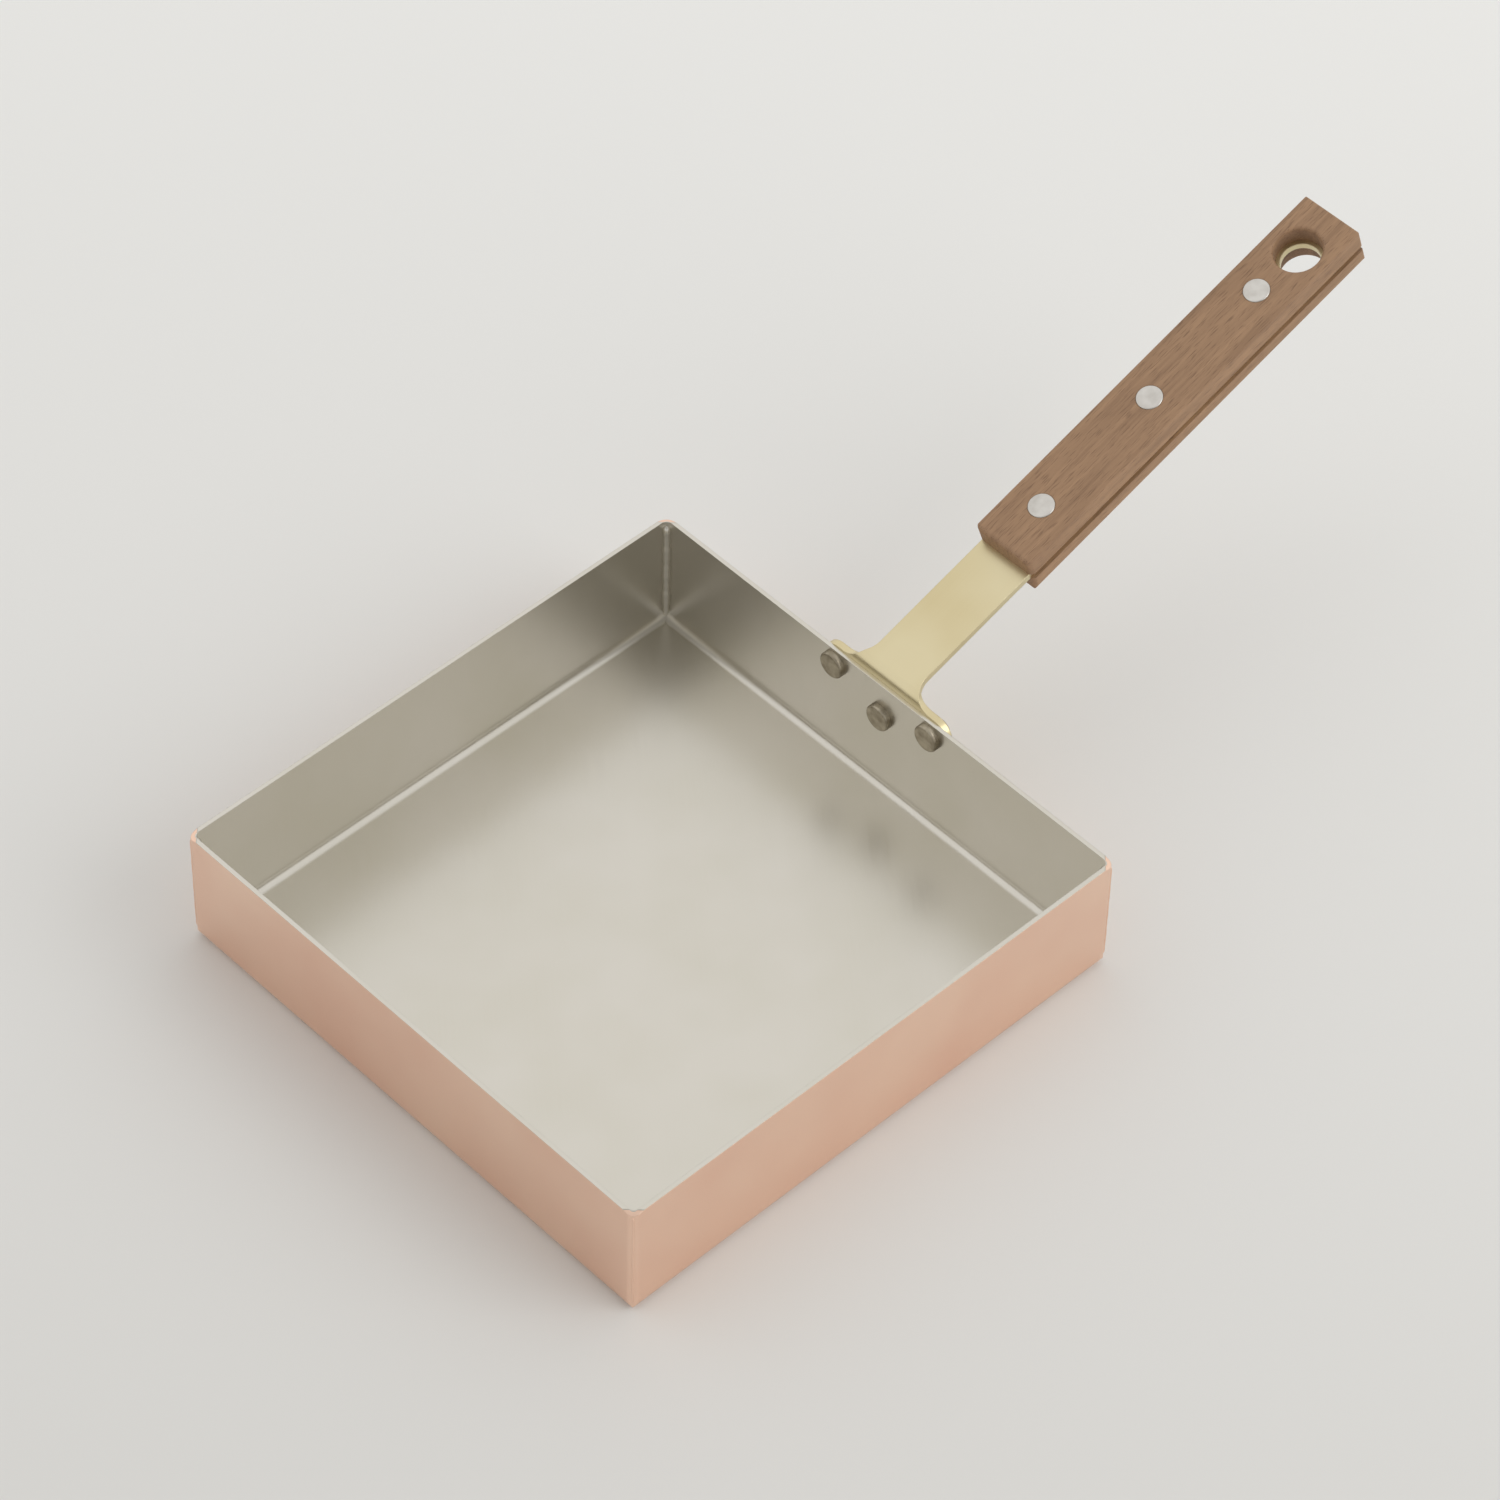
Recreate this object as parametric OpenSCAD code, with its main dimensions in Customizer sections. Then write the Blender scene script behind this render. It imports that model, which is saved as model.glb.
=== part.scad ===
// Square pan for rolled omelettes: a folded copper tray, tinned inside, riveted to
// a bent brass strap that carries two walnut scales.
// Millimetres, +Z up. The origin is the centre of the tray's underside and +Y
// points to the handle.

/* [Tray] */
// Outside width of the tray, from side to side
tray_w = 180; // [120:1:240]
// Outside length of the tray, from the front to the handle wall
tray_l = 180; // [120:1:260]
// Outside height of the tray, from the base to the rim
tray_h = 41.5; // [32:0.5:60]
// Thickness of the copper sheet
copper_t = 1.2; // [0.8:0.1:1.6]
// Thickness of the tin lining
tin_t = 0.1; // [0.05:0.05:0.3]
// Outside radius of the four upright corners
corner_r = 2.5; // [2.2:0.1:6]
// Outside radius of the bend between the base and the walls
base_r = 3.5; // [2.5:0.1:8]
// How much the braze in the corners adds to the radius inside them
seam_fill = 0.8; // [0.2:0.1:2]
// Slope of the small facet that eases the rim at each corner, in degrees
ease_slope = 22; // [10:1:35]

/* [Strap] */
// Thickness of the brass strap
brass_t = 2.2; // [1.5:0.1:3]
// Width of the strap and of its tang
strap_w = 18.7; // [16:0.1:24]
// Slope of the strap above level, in degrees
slope = 18.6; // [5:0.1:30]
// Radius of the bend on the strap's upper side
bend_r = 4; // [3.4:0.1:6]
// Length of bare strap between the bend and the scales
neck_l = 46; // [25:0.5:80]
// Radius of the fillets between the strap and the ears
fillet_r = 8; // [6.5:0.1:10]
// Height of the ears above the rim
ear_rise = 0.65; // [0.2:0.05:2]
// Flat on an ear between its fillet and its rivet
ear_flat = 1.65; // [0.5:0.05:5]
// Radius of the three lobes round the tray rivets
lobe_r = 5.7; // [5:0.1:7.5]
// How far the middle tray rivet lies below the outer two
rivet_drop = 6.8; // [4:0.1:12]
// Radius of the tang's end corners
tang_end_r = 2; // [0.5:0.1:4]

/* [Grip] */
// Length of the scales
grip_l = 138.5; // [110:0.5:160]
// Thickness of one scale
scale_t = 6.4; // [5:0.1:9]
// How far the scales stand past the tang, at its sides and its end
overhang = 1.15; // [0.5:0.05:3]
// Radius of the scales' upright corners at the pan end
near_corner_r = 1.8; // [0.5:0.1:4]
// Radius of the scales' upright corners at the hanging end
far_corner_r = 0.8; // [0.3:0.1:4]
// Radius of the outer edge across the scales' pan end
near_edge_r = 1.5; // [0.5:0.1:3]
// Radius of the outer edge across the scales' hanging end
far_edge_r = 0.5; // [0.3:0.1:3]
// Radius of the upper scale's long outer edges
top_edge_r = 0.4; // [0.2:0.1:2]
// Radius of the lower scale's long outer edges, where the fingers lie
palm_edge_r = 3; // [0.5:0.1:3.5]
// Radius of the hanging hole in the tang
hang_r = 6; // [4:0.1:6.4]
// Width of the brass ledge that shows inside the scales' holes
hang_ledge = 1.2; // [0.4:0.1:1.6]
// Radius of the rounded mouth of the scales' holes
mouth_r = 1.2; // [0.4:0.1:1.6]
// Distance from the scales' far end to the middle of the hanging hole
hang_end = 15; // [12:0.1:18]

/* [Rivets] */
// Radius of a tray rivet's shank
tray_shank_r = 2.1; // [1.5:0.1:2.6]
// Radius of a tray rivet's flat head, inside the tray
tray_head_r = 4.3; // [3.5:0.1:5]
// Height of a tray rivet's flat head
tray_head_h = 2; // [1.4:0.1:3]
// Radius round the edge of a tray rivet's flat head
tray_head_edge_r = 0.7; // [0.2:0.1:1.2]
// Radius of a tray rivet's set end, outside the flange
set_end_r = 3.9; // [3:0.1:4.5]
// Height of a tray rivet's set end
set_end_h = 1.7; // [1.4:0.1:2.5]
// Radius round the edge of a tray rivet's set end
set_end_edge_r = 1.2; // [0.3:0.1:1.3]
// Radius of a grip rivet's shank
grip_shank_r = 2.2; // [1.5:0.1:3]
// Radius of a grip rivet's head
grip_head_r = 3.95; // [3.4:0.05:5]
// Depth that a grip rivet's head is let into its scale
grip_head_depth = 1.2; // [0.6:0.1:2]
// Height that a grip rivet's head stands proud of its scale
grip_head_proud = 0.25; // [0.15:0.05:0.6]
// Radius round the edge of a grip rivet's head
grip_head_edge_r = 0.3; // [0.1:0.05:0.5]
// Distance from the scales' near end to the first grip rivet
grip_rivet_near = 16.5; // [10:0.5:30]
// Distance from the middle of the hanging hole to the last grip rivet
grip_rivet_far = 17.3; // [14:0.1:30]
// Clearance between a rivet's shank or head and its hole
rivet_gap = 0.05; // [0.02:0.01:0.1]

/* [Hidden] */
$fn = 64;
// Length by which a cutter passes the face that it cuts
over = 1;
// Length by which the neck runs on into the flange and into the straight strap
neck_lap = 1;

// Wall of the tray
lined_t = copper_t + tin_t;
lining_corner_r = corner_r - lined_t + seam_fill;
copper_h = tray_h - tin_t;
wall_y = tray_l / 2;

// Strap: the bend starts at the ears' top edge, at the height of bend_z
bend_z = tray_h + ear_rise;
bend_turn = 90 - slope;
bend_mid_r = bend_r - brass_t / 2;
bend_run = bend_mid_r * bend_turn * PI / 180;
neck_run = max(bend_run, fillet_r);
neck_steps = 12;
ear_x = strap_w / 2 + fillet_r + ear_flat;
ear_z = bend_z - lobe_r;
TRAY_RIVETS = [[-ear_x, ear_z], [0, ear_z - rivet_drop], [ear_x, ear_z]];

// Grip: places along the strap are measured from the end of the bend
grip_w = strap_w + 2 * overhang;
grip_end = neck_l + grip_l;
tang_end = grip_end - overhang;
hang_y = grip_end - hang_end;
first_rivet_y = neck_l + grip_rivet_near;
last_rivet_y = hang_y - grip_rivet_far;
GRIP_RIVETS = [first_rivet_y, (first_rivet_y + last_rivet_y) / 2, last_rivet_y];

// Colours
COPPER = "#C98F72";
TIN = "#BDB9AC";
BRASS = "#CDB98A";
WALNUT = "#8C6A50";
ALUMINIUM = "#C4C2BD";

// Flat outlines

// Rectangle about the origin with four round corners
module rounded_rectangle(w, l, r) {
    square([w - 2 * r, l], center = true);
    square([w, l - 2 * r], center = true);
    for (x = [-1, 1], y = [-1, 1])
        translate([x * (w / 2 - r), y * (l / 2 - r)])
            circle(r);
}

// Rectangle on the X axis whose upper corners have radii of their own
module crowned_rectangle(x0, x1, h, r0, r1) {
    translate([x0, 0])
        square([x1 - x0, h - max(r0, r1)]);
    translate([x0 + r0, 0])
        square([x1 - x0 - r0 - r1, h]);
    translate([x0, 0])
        square([r0, h - r0]);
    translate([x1 - r1, 0])
        square([r1, h - r1]);
    translate([x0 + r0, h - r0])
        circle(r0);
    translate([x1 - r1, h - r1])
        circle(r1);
}

// Round-ended bar between two points
module bar_outline(a, b, r) {
    d = b - a;
    for (p = [a, b])
        translate(p)
            circle(r);
    translate(a)
        rotate(atan2(d.y, d.x))
            translate([0, -r])
                square([norm(d), 2 * r]);
}

// Tray

// Section through the tray's base, with a bend up into each wall
module base_section(w, r, z0, z1) {
    translate([-w / 2, z0 + r])
        square([w, z1 - z0 - r]);
    translate([-w / 2 + r, z0])
        square([w - 2 * r, z1 - z0]);
    for (x = [-1, 1])
        translate([x * (w / 2 - r), z0 + r])
            circle(r);
}

// Solid block of the tray's form, smaller all round by inset. The bends of its
// base meet in a mitre at each corner, as those of a folded sheet do.
module tray_block(inset, upright_r, bend, z1) {
    w = tray_w - 2 * inset;
    l = tray_l - 2 * inset;
    intersection() {
        translate([0, 0, inset])
            linear_extrude(z1 - inset)
                rounded_rectangle(w, l, upright_r);
        rotate([90, 0, 0])
            linear_extrude(tray_l, center = true)
                base_section(w, bend, inset, z1);
        rotate([90, 0, 90])
            linear_extrude(tray_w, center = true)
                base_section(l, bend, inset, z1);
    }
}

// Inside faces of the copper and of the lining
module copper_hollow(z1)
    tray_block(copper_t, corner_r - copper_t, base_r - copper_t, z1);

module lining_hollow()
    tray_block(lined_t, lining_corner_r, base_r - lined_t, tray_h + over);

// Wedge above each corner of the rim, which leaves a small sloping facet
module corner_eases()
    for (x = [-1, 1], y = [-1, 1])
        translate([x * (tray_w / 2 - corner_r), y * (tray_l / 2 - corner_r), tray_h])
            rotate(atan2(y, x))
                translate([corner_r / 4, -2 * corner_r, 0])
                    rotate([0, ease_slope, 0])
                        cube([3 * corner_r, 4 * corner_r, 2 * corner_r]);

// Whatever it holds is laid along +Y from the lining's face at each tray rivet
module at_tray_rivets(which = [0, 1, 2])
    for (i = which)
        translate([TRAY_RIVETS[i].x, wall_y - lined_t, TRAY_RIVETS[i].y])
            rotate([-90, 0, 0])
                children();

module tray_rivet_holes()
    at_tray_rivets()
        translate([0, 0, -over])
            cylinder(h = lined_t + brass_t + 2 * over, r = tray_shank_r + rivet_gap);

module pan_body()
    color(COPPER)
        difference() {
            tray_block(0, corner_r, base_r, copper_h);
            copper_hollow(tray_h + over);
            corner_eases();
            tray_rivet_holes();
        }

// The tin covers the inside and the top of the rim
module tin_lining()
    color(TIN)
        difference() {
            union() {
                copper_hollow(tray_h);
                translate([0, 0, copper_h])
                    linear_extrude(tin_t)
                        rounded_rectangle(tray_w, tray_l, corner_r);
            }
            lining_hollow();
            corner_eases();
            tray_rivet_holes();
        }

// Strap

// Frame of the grip: +Y up the slope from the end of the bend, and Z = 0 on the
// strap's upper face
module grip_frame()
    translate([0, wall_y + bend_r - bend_r * sin(slope), bend_z + bend_r * cos(slope)])
        rotate([slope, 0, 0])
            children();

// Flange with two ears and a middle lobe, cut from sheet
module flange_outline() {
    for (i = [0, 1, 2])
        bar_outline(TRAY_RIVETS[i], TRAY_RIVETS[(i + 1) % 3], lobe_r);
    polygon(TRAY_RIVETS);
}

module flange()
    translate([0, wall_y + brass_t, 0])
        rotate([90, 0, 0])
            linear_extrude(brass_t)
                flange_outline();

// The neck is the flat blank's fillets carried round the bend. A station is its
// distance along the middle of the sheet, from the top edge of the ears.
function fillet_station(a) = fillet_r * (1 - cos(a));

bend_angle = acos(max(0, 1 - bend_run / fillet_r));
neck_stations = concat(
    [-neck_lap],
    [for (i = [0 : neck_steps]) fillet_station(bend_angle * i / neck_steps)],
    [for (i = [1 : neck_steps]) fillet_r > bend_run
        ? fillet_station(bend_angle + (90 - bend_angle) * i / neck_steps)
        : fillet_r + (bend_run - fillet_r) * i / neck_steps],
    [neck_run + neck_lap]);

// Half the blank's width at a station
function neck_half_width(s) = s < fillet_r
    ? strap_w / 2 + fillet_r - sqrt(fillet_r * fillet_r - pow(fillet_r - max(0, s), 2))
    : strap_w / 2;

// Point [y, z] at a station, on the face of the sheet at radius r from the
// bend's axis
function neck_point(s, r) =
    let (turn = max(0, min(s, bend_run)) / bend_mid_r * 180 / PI,
         past = max(0, s - bend_run))
    [wall_y + bend_r - r * cos(turn) + past * cos(slope),
     bend_z + min(0, s) + r * sin(turn) + past * sin(slope)];

// Corners of the neck's section at a station: upper left, upper right, lower
// right, lower left
function neck_section(s) =
    let (x = neck_half_width(s), up = neck_point(s, bend_r), low = neck_point(s, bend_r - brass_t))
    [[-x, up.x, up.y], [x, up.x, up.y], [x, low.x, low.y], [-x, low.x, low.y]];

module neck() {
    points = [for (s = neck_stations) each neck_section(s)];
    last = 4 * (len(neck_stations) - 1);
    sides = [for (k = [0 : 4 : last - 4], j = [0 : 3])
        let (a = k + j, b = k + (j + 1) % 4)
        each [[a, a + 4, b], [b, a + 4, b + 4]]];
    ends = [[0, 1, 2], [0, 2, 3], [last, last + 2, last + 1], [last, last + 3, last + 2]];
    polyhedron(points, concat(sides, ends));
}

// Straight run of the strap, with the tang at its far end
module strap_run()
    grip_frame()
        translate([0, 0, -brass_t])
            linear_extrude(brass_t)
                difference() {
                    union() {
                        translate([-strap_w / 2, neck_run - bend_run])
                            square([strap_w, tang_end - tang_end_r - neck_run + bend_run]);
                        translate([-strap_w / 2 + tang_end_r, neck_run - bend_run])
                            square([strap_w - 2 * tang_end_r, tang_end - neck_run + bend_run]);
                        for (x = [-1, 1])
                            translate([x * (strap_w / 2 - tang_end_r), tang_end - tang_end_r])
                                circle(tang_end_r);
                    }
                    translate([0, hang_y])
                        circle(hang_r);
                    for (y = GRIP_RIVETS)
                        translate([0, y])
                            circle(grip_shank_r + rivet_gap);
                }

module handle_strap()
    color(BRASS)
        union() {
            difference() {
                flange();
                tray_rivet_holes();
            }
            neck();
            strap_run();
        }

// Grip

// Scale lying on Z = 0 with its outer face up, from Y = 0 at the pan end
module scale_blank(edge_r)
    intersection() {
        linear_extrude(scale_t)
            union() {
                translate([0, near_corner_r + grip_l / 4])
                    rounded_rectangle(grip_w, 2 * near_corner_r + grip_l / 2, near_corner_r);
                translate([0, grip_l - far_corner_r - grip_l / 4])
                    rounded_rectangle(grip_w, 2 * far_corner_r + grip_l / 2, far_corner_r);
                translate([-grip_w / 2, grip_l / 4])
                    square([grip_w, grip_l / 2]);
            }
        rotate([90, 0, 90])
            linear_extrude(grip_w, center = true)
                crowned_rectangle(0, grip_l, scale_t, near_edge_r, far_edge_r);
        translate([0, grip_l, 0])
            rotate([90, 0, 0])
                linear_extrude(grip_l)
                    crowned_rectangle(-grip_w / 2, grip_w / 2, scale_t, edge_r, edge_r);
    }

// Hole through a scale at the origin, with a rounded mouth in the outer face
module mouthed_hole() {
    r = hang_r + hang_ledge;
    rotate_extrude()
        union() {
            translate([0, -over])
                square([r, scale_t + 2 * over]);
            difference() {
                translate([r - over / 2, scale_t - mouth_r])
                    square([mouth_r + over / 2, mouth_r + over]);
                translate([r + mouth_r, scale_t - mouth_r])
                    circle(mouth_r);
            }
        }
}

module scale(edge_r)
    difference() {
        scale_blank(edge_r);
        translate([0, hang_y - neck_l, 0])
            mouthed_hole();
        for (y = GRIP_RIVETS)
            translate([0, y - neck_l, 0]) {
                translate([0, 0, -over])
                    cylinder(h = scale_t + 2 * over, r = grip_shank_r + rivet_gap);
                translate([0, 0, scale_t - grip_head_depth])
                    cylinder(h = grip_head_depth + over, r = grip_head_r + rivet_gap);
            }
    }

module upper_scale()
    color(WALNUT)
        grip_frame()
            translate([0, neck_l, 0])
                scale(top_edge_r);

module lower_scale()
    color(WALNUT)
        grip_frame()
            translate([0, neck_l, -brass_t])
                mirror([0, 0, 1])
                    scale(palm_edge_r);

// Rivets

// Half section of a round head on Z = 0 with a rounded outer edge
module head_section(r, h, edge_r) {
    square([r, h - edge_r]);
    square([r - edge_r, h]);
    intersection() {
        square([r, h]);
        translate([r - edge_r, h - edge_r])
            circle(edge_r);
    }
}

// Rivet along +Z: its shank runs from 0 to grip, with a head at each end
module rivet(shank_r, grip, low_head, high_head)
    rotate_extrude()
        union() {
            square([shank_r, grip]);
            mirror([0, 1])
                head_section(low_head[0], low_head[1], low_head[2]);
            translate([0, grip])
                head_section(high_head[0], high_head[1], high_head[2]);
        }

module tray_rivet(i)
    color(TIN)
        at_tray_rivets([i])
            rivet(tray_shank_r, lined_t + brass_t,
                  [tray_head_r, tray_head_h, tray_head_edge_r],
                  [set_end_r, set_end_h, set_end_edge_r]);

module tray_rivet_left() tray_rivet(0);
module tray_rivet_middle() tray_rivet(1);
module tray_rivet_right() tray_rivet(2);

module grip_rivet(i) {
    seat = scale_t - grip_head_depth;
    head = [grip_head_r, grip_head_depth + grip_head_proud, grip_head_edge_r];
    color(ALUMINIUM)
        grip_frame()
            translate([0, GRIP_RIVETS[i], -brass_t - seat])
                rivet(grip_shank_r, brass_t + 2 * seat, head, head);
}

module grip_rivet_near_end() grip_rivet(0);
module grip_rivet_centre() grip_rivet(1);
module grip_rivet_far_end() grip_rivet(2);

pan_body();
tin_lining();
handle_strap();
upper_scale();
lower_scale();
tray_rivet_left();
tray_rivet_middle();
tray_rivet_right();
grip_rivet_near_end();
grip_rivet_centre();
grip_rivet_far_end();
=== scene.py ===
"""Studio picture of a tinned copper pan with a brass and walnut handle.

Metres, +Z up, +Y toward the handle. The origin is the centre of the tray's underside.
"""

import logging
import math
from dataclasses import dataclass
from enum import Enum

import bmesh
import bpy
import numpy as np
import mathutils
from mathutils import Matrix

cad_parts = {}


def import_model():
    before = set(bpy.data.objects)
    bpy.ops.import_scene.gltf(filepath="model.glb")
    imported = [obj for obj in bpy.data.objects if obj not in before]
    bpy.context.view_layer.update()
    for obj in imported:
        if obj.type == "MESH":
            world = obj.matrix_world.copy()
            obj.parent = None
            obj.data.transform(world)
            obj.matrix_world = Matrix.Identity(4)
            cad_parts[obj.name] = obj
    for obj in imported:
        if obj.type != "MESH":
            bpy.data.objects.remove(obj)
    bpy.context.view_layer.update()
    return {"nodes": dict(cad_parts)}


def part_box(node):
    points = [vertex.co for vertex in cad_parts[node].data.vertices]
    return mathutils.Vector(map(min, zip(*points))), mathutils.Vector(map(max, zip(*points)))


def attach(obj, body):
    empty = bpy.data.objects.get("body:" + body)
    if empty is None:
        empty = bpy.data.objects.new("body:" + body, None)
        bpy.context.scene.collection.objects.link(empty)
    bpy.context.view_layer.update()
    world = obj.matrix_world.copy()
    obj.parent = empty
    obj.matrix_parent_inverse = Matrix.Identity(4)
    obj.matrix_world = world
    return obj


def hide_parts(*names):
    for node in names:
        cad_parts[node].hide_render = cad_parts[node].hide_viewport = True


LOG = logging.getLogger("pan")
MM = 0.001
ROOT = "root"
# The handle's rise above the level
HANDLE_SLOPE = math.radians(18.6)
# The angle between the tin's wipe streaks and the X axis
WIPE_TURN = math.radians(38)
# Rays that round an edge's shading
EDGE_SAMPLES = 6
# Where the sRGB curve changes from a line to a power
SRGB_KNEE = 0.04045

Colour = tuple[float, float, float, float]
Nodes = dict[str, bpy.types.Object]
Vector = tuple[float, float, float]


class Slot(Enum):
    """The material slots of copper, tin and brass."""

    COPPER = "copper"
    TIN = "tin"
    BRASS = "brass"


class Corner(Enum):
    """The tray's four corners, each as the signs of its X and Y."""

    LEFT = (-1, -1)
    FRONT = (1, -1)
    RIGHT = (1, 1)
    BACK = (-1, 1)

    def piece_name(self, kind: str) -> str:
        """Names a piece of some kind at this corner."""
        return f"corner_{kind}_{self.name.lower()}"


def to_linear(code: str) -> Colour:
    """Turns a colour into the linear values that the shaders take, by the sRGB formula.

    Args:
        code: an sRGB colour such as "#C98F72".

    Returns:
        Linear red, green and blue, and an alpha of 1.
    """
    channels = [int(code[i:i + 2], 16) / 255 for i in (1, 3, 5)]
    red, green, blue = (c / 12.92 if c <= SRGB_KNEE else ((c + 0.055) / 1.055) ** 2.4 for c in channels)
    return red, green, blue, 1.0


def add(tree: bpy.types.NodeTree, kind: str, values: dict | None = None, links: dict | None = None,
        **settings: object) -> bpy.types.Node:
    """Adds one shader node.

    Args:
        tree: the node tree that gets it.
        kind: the node's type name.
        values: input name or number to the value set on it.
        links: input name or number to the socket that feeds it.
        settings: the node's own attributes.

    Returns:
        The new node.
    """
    node = tree.nodes.new(kind)
    for name, value in settings.items():
        setattr(node, name, value)
    for name, value in (values or {}).items():
        node.inputs[name].default_value = value
    for name, socket in (links or {}).items():
        tree.links.new(socket, node.inputs[name])
    return node


def blend(tree: bpy.types.NodeTree, factor: bpy.types.NodeSocket, low: str | bpy.types.NodeSocket,
          high: str | bpy.types.NodeSocket) -> bpy.types.NodeSocket:
    """Mixes two colours, each a colour code or a socket.

    Args:
        tree: the node tree.
        factor: 0 gives low and 1 gives high.
        low: the first colour.
        high: the second colour.

    Returns:
        The mixed colour's socket.
    """
    # The Mix node's colour sockets: two inputs and an output
    first_colour, second_colour, mixed_colour = 6, 7, 2
    node = add(tree, "ShaderNodeMix", links={0: factor}, data_type="RGBA")
    for index, colour in ((first_colour, low), (second_colour, high)):
        if isinstance(colour, str):
            node.inputs[index].default_value = to_linear(colour)
        else:
            tree.links.new(colour, node.inputs[index])
    return node.outputs[mixed_colour]


def noise(tree: bpy.types.NodeTree, size_mm: Vector, detail: float,
          turn: Vector = (0.0, 0.0, 0.0)) -> bpy.types.NodeSocket:
    """Makes noise whose grains have a real size along each axis.

    Args:
        tree: the node tree.
        size_mm: a grain's size along X, Y and Z.
        detail: the number of finer octaves.
        turn: the turn of the coordinates before the noise is read, in radians.

    Returns:
        The noise value's socket, from 0 to 1.
    """
    place = add(tree, "ShaderNodeTexCoord").outputs["Object"]
    turned = add(tree, "ShaderNodeMapping", {"Rotation": turn}, {"Vector": place})
    per_grain = tuple(1 / (size * MM) for size in size_mm)
    scaled = add(tree, "ShaderNodeMapping", {"Scale": per_grain}, {"Vector": turned.outputs["Vector"]})
    made = add(tree, "ShaderNodeTexNoise", {"Scale": 1.0, "Detail": detail},
               {"Vector": scaled.outputs["Vector"]})
    return made.outputs[0]


def spread(tree: bpy.types.NodeTree, value: bpy.types.NodeSocket, between: tuple[float, float],
           low: float, high: float) -> bpy.types.NodeSocket:
    """Maps a value from one range to another, and holds it inside.

    Args:
        tree: the node tree.
        value: the socket to map.
        between: the values that give low and high.
        low: the first result.
        high: the last result.

    Returns:
        The mapped value's socket.
    """
    values = {"From Min": between[0], "From Max": between[1], "To Min": low, "To Max": high}
    return add(tree, "ShaderNodeMapRange", values, {"Value": value}).outputs["Result"]


def rounded_bump(tree: bpy.types.NodeTree, height: bpy.types.NodeSocket, edge_mm: float, depth_mm: float,
                 strength: float) -> bpy.types.NodeSocket:
    """Rounds a piece's edges in its shading, and lays fine relief over it.

    Args:
        tree: the node tree.
        height: the relief, from 0 to 1.
        edge_mm: the radius of the edges.
        depth_mm: the height of the relief, below 0 where it is sunk.
        strength: how much of the relief shows.

    Returns:
        The normal's socket.
    """
    edge = add(tree, "ShaderNodeBevel", {"Radius": edge_mm * MM}, samples=EDGE_SAMPLES)
    bump = add(tree, "ShaderNodeBump", {"Strength": strength, "Distance": depth_mm * MM},
               {"Height": height, "Normal": edge.outputs["Normal"]})
    return bump.outputs["Normal"]


@dataclass(frozen=True)
class MetalFinish:
    """Satin metal: clouds of two tones under marks, which have their own size along each axis."""

    name: str
    light: str
    dark: str
    roughness: float
    cloud_mm: float
    mark_mm: Vector
    mark_turn: Vector
    mark_depth_mm: float
    edge_mm: float
    cloud_detail: float = 2.0
    cloud_between: tuple[float, float] = (0.35, 0.65)
    mark_detail: float = 4.0
    mark_tone_between: tuple[float, float] = (0.25, 0.75)
    mark_tone_share: float = 0.35
    mark_rough_between: tuple[float, float] = (0.3, 0.7)
    rough_swing: float = 0.07
    relief: float = 0.5

    def material(self) -> bpy.types.Material:
        """Builds the finish.

        Returns:
            The new material.
        """
        made = bpy.data.materials.new(self.name)
        made.use_nodes = True
        tree = made.node_tree
        shader = tree.nodes["Principled BSDF"]
        clouds = noise(tree, (self.cloud_mm,) * 3, self.cloud_detail)
        marks = noise(tree, self.mark_mm, self.mark_detail, self.mark_turn)
        tone = blend(tree, spread(tree, clouds, self.cloud_between, 0.0, 1.0), self.dark, self.light)
        marked = spread(tree, marks, self.mark_tone_between, 0.0, self.mark_tone_share)
        rough = spread(tree, marks, self.mark_rough_between, self.roughness * (1 - self.rough_swing),
                       self.roughness * (1 + self.rough_swing))
        normal = rounded_bump(tree, marks, self.edge_mm, self.mark_depth_mm, self.relief)
        shader.inputs["Metallic"].default_value = 1.0
        tree.links.new(blend(tree, marked, tone, self.light), shader.inputs["Base Color"])
        tree.links.new(rough, shader.inputs["Roughness"])
        tree.links.new(normal, shader.inputs["Normal"])
        return made


@dataclass(frozen=True)
class WoodFinish:
    """Open-pored wood, its grain along the handle.

    A band's length and height, band_run and band_height, are multiples of its width.
    """

    name: str
    light: str
    dark: str
    pore: str
    roughness: float
    band_mm: float
    pore_mm: float
    pore_run_mm: float
    band_run: float = 22.0
    band_height: float = 2.0
    band_detail: float = 3.0
    band_between: tuple[float, float] = (0.3, 0.7)
    pore_detail: float = 1.0
    pore_between: tuple[float, float] = (0.56, 0.70)
    pore_share: float = 0.6
    pore_depth_mm: float = 0.08
    edge_mm: float = 0.25
    relief: float = 0.4

    def material(self) -> bpy.types.Material:
        """Builds the finish.

        Returns:
            The new material.
        """
        made = bpy.data.materials.new(self.name)
        made.use_nodes = True
        tree = made.node_tree
        shader = tree.nodes["Principled BSDF"]
        turn = (-HANDLE_SLOPE, 0.0, 0.0)
        band_size = (self.band_mm, self.band_mm * self.band_run, self.band_mm * self.band_height)
        bands = noise(tree, band_size, self.band_detail, turn)
        pores = noise(tree, (self.pore_mm, self.pore_run_mm, self.pore_mm), self.pore_detail, turn)
        tone = blend(tree, spread(tree, bands, self.band_between, 0.0, 1.0), self.dark, self.light)
        open_pores = spread(tree, pores, self.pore_between, 0.0, self.pore_share)
        normal = rounded_bump(tree, open_pores, self.edge_mm, -self.pore_depth_mm, self.relief)
        shader.inputs["Roughness"].default_value = self.roughness
        tree.links.new(blend(tree, open_pores, tone, self.pore), shader.inputs["Base Color"])
        tree.links.new(normal, shader.inputs["Normal"])
        return made


# Sanding leaves marks too fine to show, so the copper, brass and aluminium have them about
# 0.25 mm wide, and the walnut's pores are a little wider than real ones for the same reason.

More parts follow.
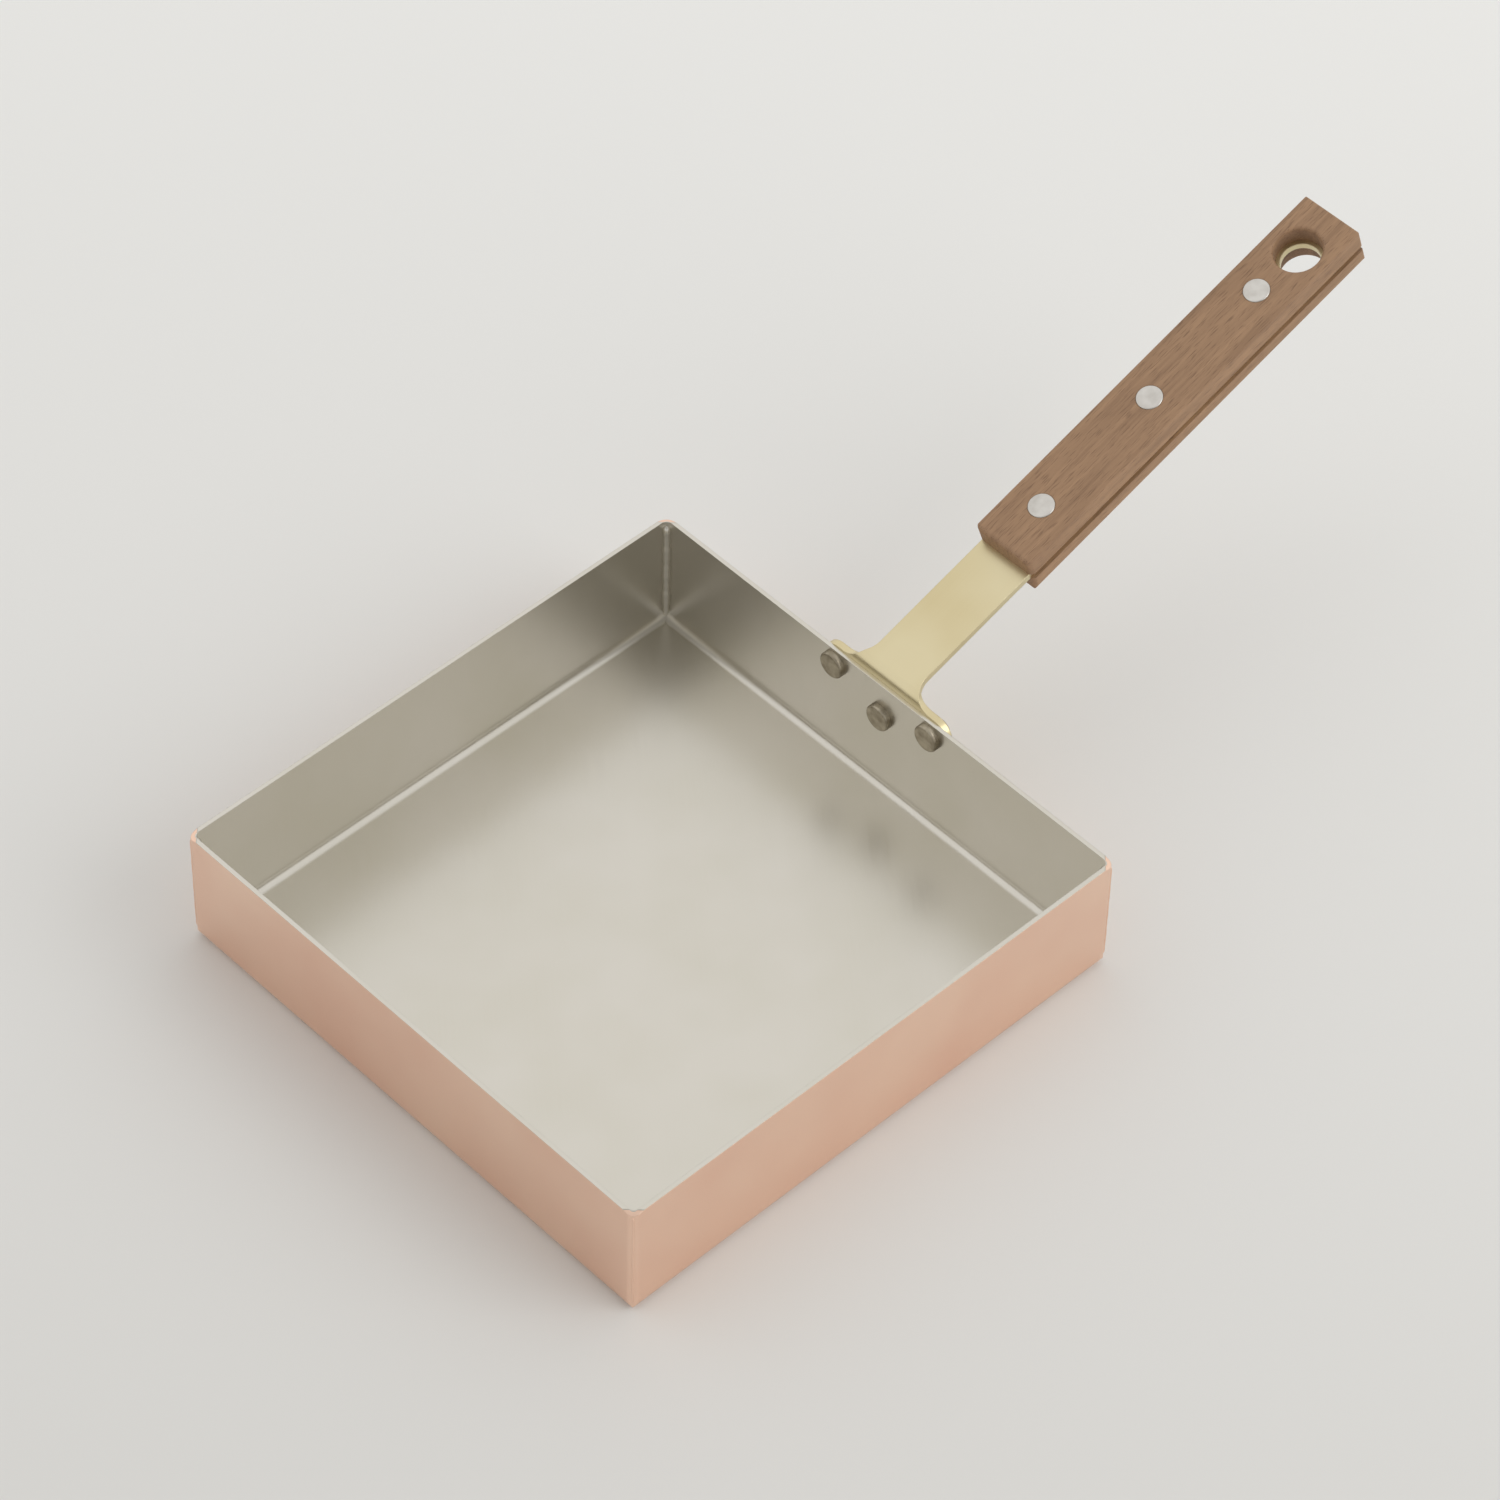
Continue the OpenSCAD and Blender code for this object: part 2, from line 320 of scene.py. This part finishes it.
# Rolled and hand-sanded: faint pinkish clouds under fine level lines, soft reflections
COPPER = MetalFinish(
    name="copper_satin_rolled",
    light="#F8D8C2",
    dark="#F3CDB7",
    roughness=0.36,
    cloud_mm=45.0,
    mark_mm=(30.0, 30.0, 0.25),
    mark_turn=(0.0, 0.0, 0.0),
    mark_depth_mm=0.010,
    edge_mm=0.35,
)
# Wiped on hot: faint grey-beige clouds with diagonal wipe streaks
TIN = MetalFinish(
    name="tin_wiped",
    light="#DAD6CD",
    dark="#D6D2C7",
    roughness=0.31,
    cloud_mm=32.0,
    mark_mm=(60.0, 0.9, 9.0),
    mark_turn=(0.0, 0.0, WIPE_TURN),
    mark_depth_mm=0.012,
    edge_mm=0.25,
)
# Rolled strip, sanded along its length: pale yellow with long fine lines
BRASS = MetalFinish(
    name="brass_satin_strip",
    light="#DFD3AE",
    dark="#D5C69C",
    roughness=0.33,
    cloud_mm=30.0,
    mark_mm=(0.22, 40.0, 0.6),
    mark_turn=(-HANDLE_SLOPE, 0.0, 0.0),
    mark_depth_mm=0.008,
    edge_mm=0.30,
)
# Tinned copper, dull from use: grey-brown with small clouds and a faint uneven relief
TINNED_COPPER = MetalFinish(
    name="tinned_copper_dull",
    light="#B8AF9C",
    dark="#8E8472",
    roughness=0.42,
    cloud_mm=3.0,
    mark_mm=(2.0, 2.0, 2.0),
    mark_turn=(0.0, 0.0, 0.0),
    mark_depth_mm=0.030,
    edge_mm=0.40,
)
# Sanded: pale grey, with fine marks along the grip
ALUMINIUM = MetalFinish(
    name="aluminium_satin_sanded",
    light="#D8D5D0",
    dark="#C6C2BC",
    roughness=0.36,
    cloud_mm=4.0,
    mark_mm=(0.25, 8.0, 0.5),
    mark_turn=(-HANDLE_SLOPE, 0.0, 0.0),
    mark_depth_mm=0.006,
    edge_mm=0.25,
)
# Sanded and oiled: soft brown bands with short dark pores along the grip
WALNUT = WoodFinish(
    name="walnut_sanded_oiled",
    light="#A98666",
    dark="#907054",
    pore="#6A4D38",
    roughness=0.60,
    band_mm=1.7,
    pore_mm=0.30,
    pore_run_mm=5.0,
)


def cover(mesh: bpy.types.Mesh, material: bpy.types.Material) -> None:
    """Makes a material the only one of a mesh."""
    mesh.materials.clear()
    mesh.materials.append(material)


def cover_nodes(nodes: Nodes, names: tuple[str, ...], material: bpy.types.Material) -> None:
    """Gives CAD nodes their material.

    Args:
        nodes: every CAD node by name.
        names: the nodes that get it.
        material: the material of them all.
    """
    for name in names:
        cover(nodes[name].data, material)
        LOG.info("%s is dressed in %s", name, material.name)


def piece(mesh: bpy.types.Mesh, material: bpy.types.Material) -> bpy.types.Object:
    """Puts a new mesh into the scene as a piece of the object.

    Args:
        mesh: its mesh, in its place, which names the piece.
        material: its material.

    Returns:
        The new object, riding on the root.
    """
    made = bpy.data.objects.new(mesh.name, mesh)
    bpy.context.scene.collection.objects.link(made)
    cover(mesh, material)
    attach(made, ROOT)
    LOG.info("%s has %d faces", made.name, len(mesh.polygons))
    return made


@dataclass
class Seam:
    """An upright seam: a closed bar whose radius swells and shrinks along it."""

    name: str
    centre: np.ndarray
    radius: float
    bottom: float
    top: float
    rings: int = 60
    sides: int = 24
    mean: float = 0.9
    long_wave: float = 9.0 * MM
    long_swell: float = 0.07
    short_wave: float = 3.7 * MM
    short_swell: float = 0.05
    end_power: int = 16
    end_least: float = 0.02

    def points(self) -> np.ndarray:
        """Works out the seam's surface.

        At height z the ring is (cx + r(z) cos a, cy + r(z) sin a, z), with
        r(z) = radius * (mean + long_swell sin(k1 z) + short_swell sin(k2 z)) * e(t).
        k1 and k2 are 2 pi over long_wave and short_wave. t runs from 0 at the bottom to 1
        at the top, and e(t) = sqrt(max(end_least, 1 - (2t - 1)^end_power)) draws in both ends.

        Returns:
            The points, ring by ring.
        """
        t = np.linspace(0.0, 1.0, self.rings)
        z = self.bottom + (self.top - self.bottom) * t
        swell = (self.mean + self.long_swell * np.sin(2 * np.pi / self.long_wave * z)
                 + self.short_swell * np.sin(2 * np.pi / self.short_wave * z))
        r = self.radius * swell * np.sqrt(np.clip(1 - (2 * t - 1) ** self.end_power, self.end_least, 1))
        a = np.linspace(0.0, 2 * np.pi, self.sides, endpoint=False)
        x = self.centre[0] + np.outer(r, np.cos(a))
        y = self.centre[1] + np.outer(r, np.sin(a))
        return np.stack([x, y, np.repeat(z[:, None], self.sides, 1)], axis=2).reshape(-1, 3)

    def faces(self) -> list[list[int]]:
        """Joins each ring to the next with quads, and closes both ends.

        Returns:
            The faces, each as the numbers of its points.
        """
        ring, side = np.meshgrid(np.arange(self.rings - 1), np.arange(self.sides), indexing="ij")
        here = ring * self.sides + side
        turn = ring * self.sides + (side + 1) % self.sides
        quads = np.stack([here, turn, turn + self.sides, here + self.sides], axis=2).reshape(-1, 4)
        last = (self.rings - 1) * self.sides
        caps = [list(range(self.sides - 1, -1, -1)), list(range(last, last + self.sides))]
        return quads.tolist() + caps

    def build(self) -> bpy.types.Mesh:
        """Makes the seam's mesh.

        Returns:
            The mesh, which has the seam's name.
        """
        mesh = bpy.data.meshes.new(self.name)
        mesh.from_pydata(self.points().tolist(), [], self.faces())
        mesh.shade_smooth()
        return mesh


@dataclass
class Tray:
    """The copper tray, its lining, and the brazed seams inside and outside its corners.

    wall is the copper and the tin together, and seam_in is how far the axis of an inner
    seam stands in from both walls.
    """

    wall: float = 1.3 * MM
    corner_r: float = 2.5 * MM
    seam_r: float = 1.35 * MM
    seam_in: float = 0.75 * MM
    ridge_r: float = 0.40 * MM
    seam_lift: float = 2.0 * MM
    seam_drop: float = 1.5 * MM

    def build(self, copper: bpy.types.Material, tin: bpy.types.Material) -> None:
        """Makes a seam inside and a fine ridge outside each corner.

        Args:
            copper: the material of the tray.
            tin: the material of the lining.
        """
        low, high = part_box("tin_lining")
        rim = np.array([high[0], high[1]])
        bottom, top = low[2] + self.seam_lift, high[2] - self.seam_drop
        # The middle of a corner's arc lies this far in from the box, along X and along Y
        ridge_in = self.corner_r * (1 - math.sqrt(0.5))
        for corner in Corner:
            sign = np.array(corner.value, dtype=float)
            inside = sign * (rim - self.wall - self.seam_in)
            outside = sign * (rim - ridge_in)
            seam = Seam(corner.piece_name("seam"), inside, self.seam_r, bottom, top)
            ridge = Seam(corner.piece_name("ridge"), outside, self.ridge_r, bottom, top)
            piece(seam.build(), tin)
            piece(ridge.build(), copper)

    def dress(self, nodes: Nodes, copper: bpy.types.Material, tin: bpy.types.Material) -> None:
        """Gives the tray and its lining their metals.

        Args:
            nodes: every CAD node by name.
            copper: the material of the tray.
            tin: the material of the lining.
        """
        cover_nodes(nodes, ("pan_body",), copper)
        cover_nodes(nodes, ("tin_lining",), tin)


@dataclass
class Strap:
    """The brass strap, with the rounded edges that the real one has."""

    edge_r: float = 0.45 * MM
    edge_steps: int = 3
    merge: float = 0.001 * MM
    join_below: float = math.radians(0.5)
    round_above: float = math.radians(35)

    def build(self, nodes: Nodes, brass: bpy.types.Material) -> None:
        """Copies the CAD strap, joins its triangles and rounds the copy's edges.

        Args:
            nodes: every CAD node by name.
            brass: the material of the strap.
        """
        mesh = nodes["handle_strap"].data.copy()
        mesh.name = "rounded_strap"
        work = bmesh.new()
        work.from_mesh(mesh)
        bmesh.ops.remove_doubles(work, verts=work.verts, dist=self.merge)
        bmesh.ops.dissolve_limit(work, angle_limit=self.join_below, verts=work.verts, edges=work.edges)
        work.to_mesh(mesh)
        work.free()
        made = piece(mesh, brass)
        bevel = made.modifiers.new("edges", "BEVEL")
        bevel.width = self.edge_r
        bevel.segments = self.edge_steps
        bevel.limit_method = "ANGLE"
        bevel.angle_limit = self.round_above
        bevel.use_clamp_overlap = True
        mesh.shade_smooth()
        made.modifiers.new("normals", "WEIGHTED_NORMAL")
        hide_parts("handle_strap")


@dataclass
class Grip:
    """The two walnut scales, and the rivets that hold them to the tang."""

    scales: tuple[str, ...] = ("upper_scale", "lower_scale")
    rivets: tuple[str, ...] = ("grip_rivet_near_end", "grip_rivet_centre", "grip_rivet_far_end")

    def dress(self, nodes: Nodes, walnut: bpy.types.Material, aluminium: bpy.types.Material) -> None:
        """Gives the scales their wood and the rivets their metal.

        Args:
            nodes: every CAD node by name.
            walnut: the material of the scales.
            aluminium: the material of the rivets.
        """
        cover_nodes(nodes, self.scales, walnut)
        cover_nodes(nodes, self.rivets, aluminium)


@dataclass
class TrayRivets:
    """The three rivets that hold the strap's flange to the tray."""

    names: tuple[str, ...] = ("tray_rivet_left", "tray_rivet_middle", "tray_rivet_right")

    def dress(self, nodes: Nodes, tinned: bpy.types.Material) -> None:
        """Gives the rivets their metal.

        Args:
            nodes: every CAD node by name.
            tinned: the material of the rivets.
        """
        cover_nodes(nodes, self.names, tinned)


@dataclass
class Studio:
    """The camera, the floor and the lights.

    The floor's colour changes over floor_fade to each side of the origin, as a painted light falloff
    with painted shade near the camera and painted light far from it, and the room grows darker as
    the cosine of the angle to the camera goes through dark_between.
    """

    camera_at: Vector = (0.8104, -0.7619, 1.3231)
    camera_degrees: Vector = (41.877, -0.967, 46.482)
    camera_near: float = 0.05
    lens: float = 148.60
    sensor: float = 36.0
    floor_half: float = 3.0
    # Painted light falloff on the floor: the colour runs along floor_away, from painted shade near the
    # camera to painted light far from it
    floor_away: Vector = (-0.73, 0.68, 0.0)
    floor_painted_light_far: str = "#F0F0EE"
    floor_painted_shade_near: str = "#D2D1CE"
    floor_fade: float = 0.45
    floor_roughness: float = 0.9
    room_colour: str = "#FFFEFC"
    room_strength: float = 0.94
    dark_share: float = 0.62
    dark_between: tuple[float, float] = (0.70, 0.97)
    key_at: Vector = (1.9, 0.9, 1.5)
    key_size: float = 1.8
    key_power: float = 17.0

    def camera(self) -> None:
        """Places the camera that the picture is taken with."""
        data = bpy.data.cameras.new("camera")
        data.lens = self.lens
        data.sensor_width = self.sensor
        data.clip_start = self.camera_near
        made = bpy.data.objects.new("camera", data)
        made.location = self.camera_at
        made.rotation_euler = tuple(math.radians(angle) for angle in self.camera_degrees)
        bpy.context.scene.collection.objects.link(made)
        bpy.context.scene.camera = made

    def card(self) -> bpy.types.Material:
        """Makes the floor's matt card, with a painted light falloff: painted shade near the camera, growing
        lighter away from it.

        Returns:
            The new material.
        """
        made = bpy.data.materials.new("matt_card_floor")
        made.use_nodes = True
        tree = made.node_tree
        shader = tree.nodes["Principled BSDF"]
        place = add(tree, "ShaderNodeTexCoord").outputs["Object"]
        along = add(tree, "ShaderNodeVectorMath", {1: self.floor_away}, {0: place}, operation="DOT_PRODUCT")
        # Painted light falloff: painted shade toward the camera, painted light away from it
        painted_falloff = spread(tree, along.outputs["Value"], (-self.floor_fade, self.floor_fade), 0.0, 1.0)
        tree.links.new(blend(tree, painted_falloff, self.floor_painted_shade_near, self.floor_painted_light_far), shader.inputs["Base Color"])
        shader.inputs["Roughness"].default_value = self.floor_roughness
        return made

    def floor(self) -> None:
        """Lays the floor, which isn't part of the object."""
        half = self.floor_half
        corners = [(-half, -half, 0), (half, -half, 0), (half, half, 0), (-half, half, 0)]
        mesh = bpy.data.meshes.new("floor")
        mesh.from_pydata(corners, [], [(0, 1, 2, 3)])
        made = bpy.data.objects.new("floor", mesh)
        bpy.context.scene.collection.objects.link(made)
        cover(mesh, self.card())

    def room(self) -> None:
        """Lights the room evenly, but for a darker part behind the camera."""
        world = bpy.data.worlds.new("room")
        world.use_nodes = True
        tree = world.node_tree
        background = tree.nodes["Background"]
        background.inputs["Color"].default_value = to_linear(self.room_colour)
        ray = add(tree, "ShaderNodeTexCoord").outputs["Generated"]
        toward = tuple(np.array(self.camera_at) / np.linalg.norm(self.camera_at))
        facing = add(tree, "ShaderNodeVectorMath", {1: toward}, {0: ray}, operation="DOT_PRODUCT")
        dimmed = self.room_strength * (1 - self.dark_share)
        strength = spread(tree, facing.outputs["Value"], self.dark_between, self.room_strength, dimmed)
        tree.links.new(strength, background.inputs["Strength"])
        bpy.context.scene.world = world

    def key(self) -> None:
        """Hangs the large light on the right.

        It lies where the tin would mirror it, so the tin is left out of its light.
        """
        data = bpy.data.lights.new("key", "AREA")
        data.shape = "SQUARE"
        data.size = self.key_size
        data.energy = self.key_power
        made = bpy.data.objects.new("key", data)
        unlit = bpy.data.collections.new("out_of_the_key_light")
        for name in ("tin_lining", *(corner.piece_name("seam") for corner in Corner)):
            unlit.objects.link(bpy.data.objects[name])
        for member in unlit.collection_objects:
            member.light_linking.link_state = "EXCLUDE"
        made.light_linking.receiver_collection = unlit
        x, y, z = self.key_at
        made.location = self.key_at
        made.rotation_euler = (math.acos(z / math.hypot(x, y, z)), 0.0, math.atan2(y, x) + math.pi / 2)
        bpy.context.scene.collection.objects.link(made)

    def build(self) -> None:
        """Sets up the camera, the floor and the lights, with plain colours."""
        self.camera()
        self.floor()
        self.room()
        self.key()
        bpy.context.scene.view_settings.view_transform = "Standard"


def main() -> None:
    """Builds and dresses every sub-assembly in order."""
    logging.basicConfig(level=logging.INFO, format="%(message)s")
    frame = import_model()
    nodes = frame["nodes"]
    copper, tin = COPPER.material(), TIN.material()
    tray = Tray()
    tray.build(copper, tin)
    tray.dress(nodes, copper, tin)
    Strap().build(nodes, BRASS.material())
    Grip().dress(nodes, WALNUT.material(), ALUMINIUM.material())
    TrayRivets().dress(nodes, TINNED_COPPER.material())
    Studio().build()


if __name__ == "__main__":
    main()
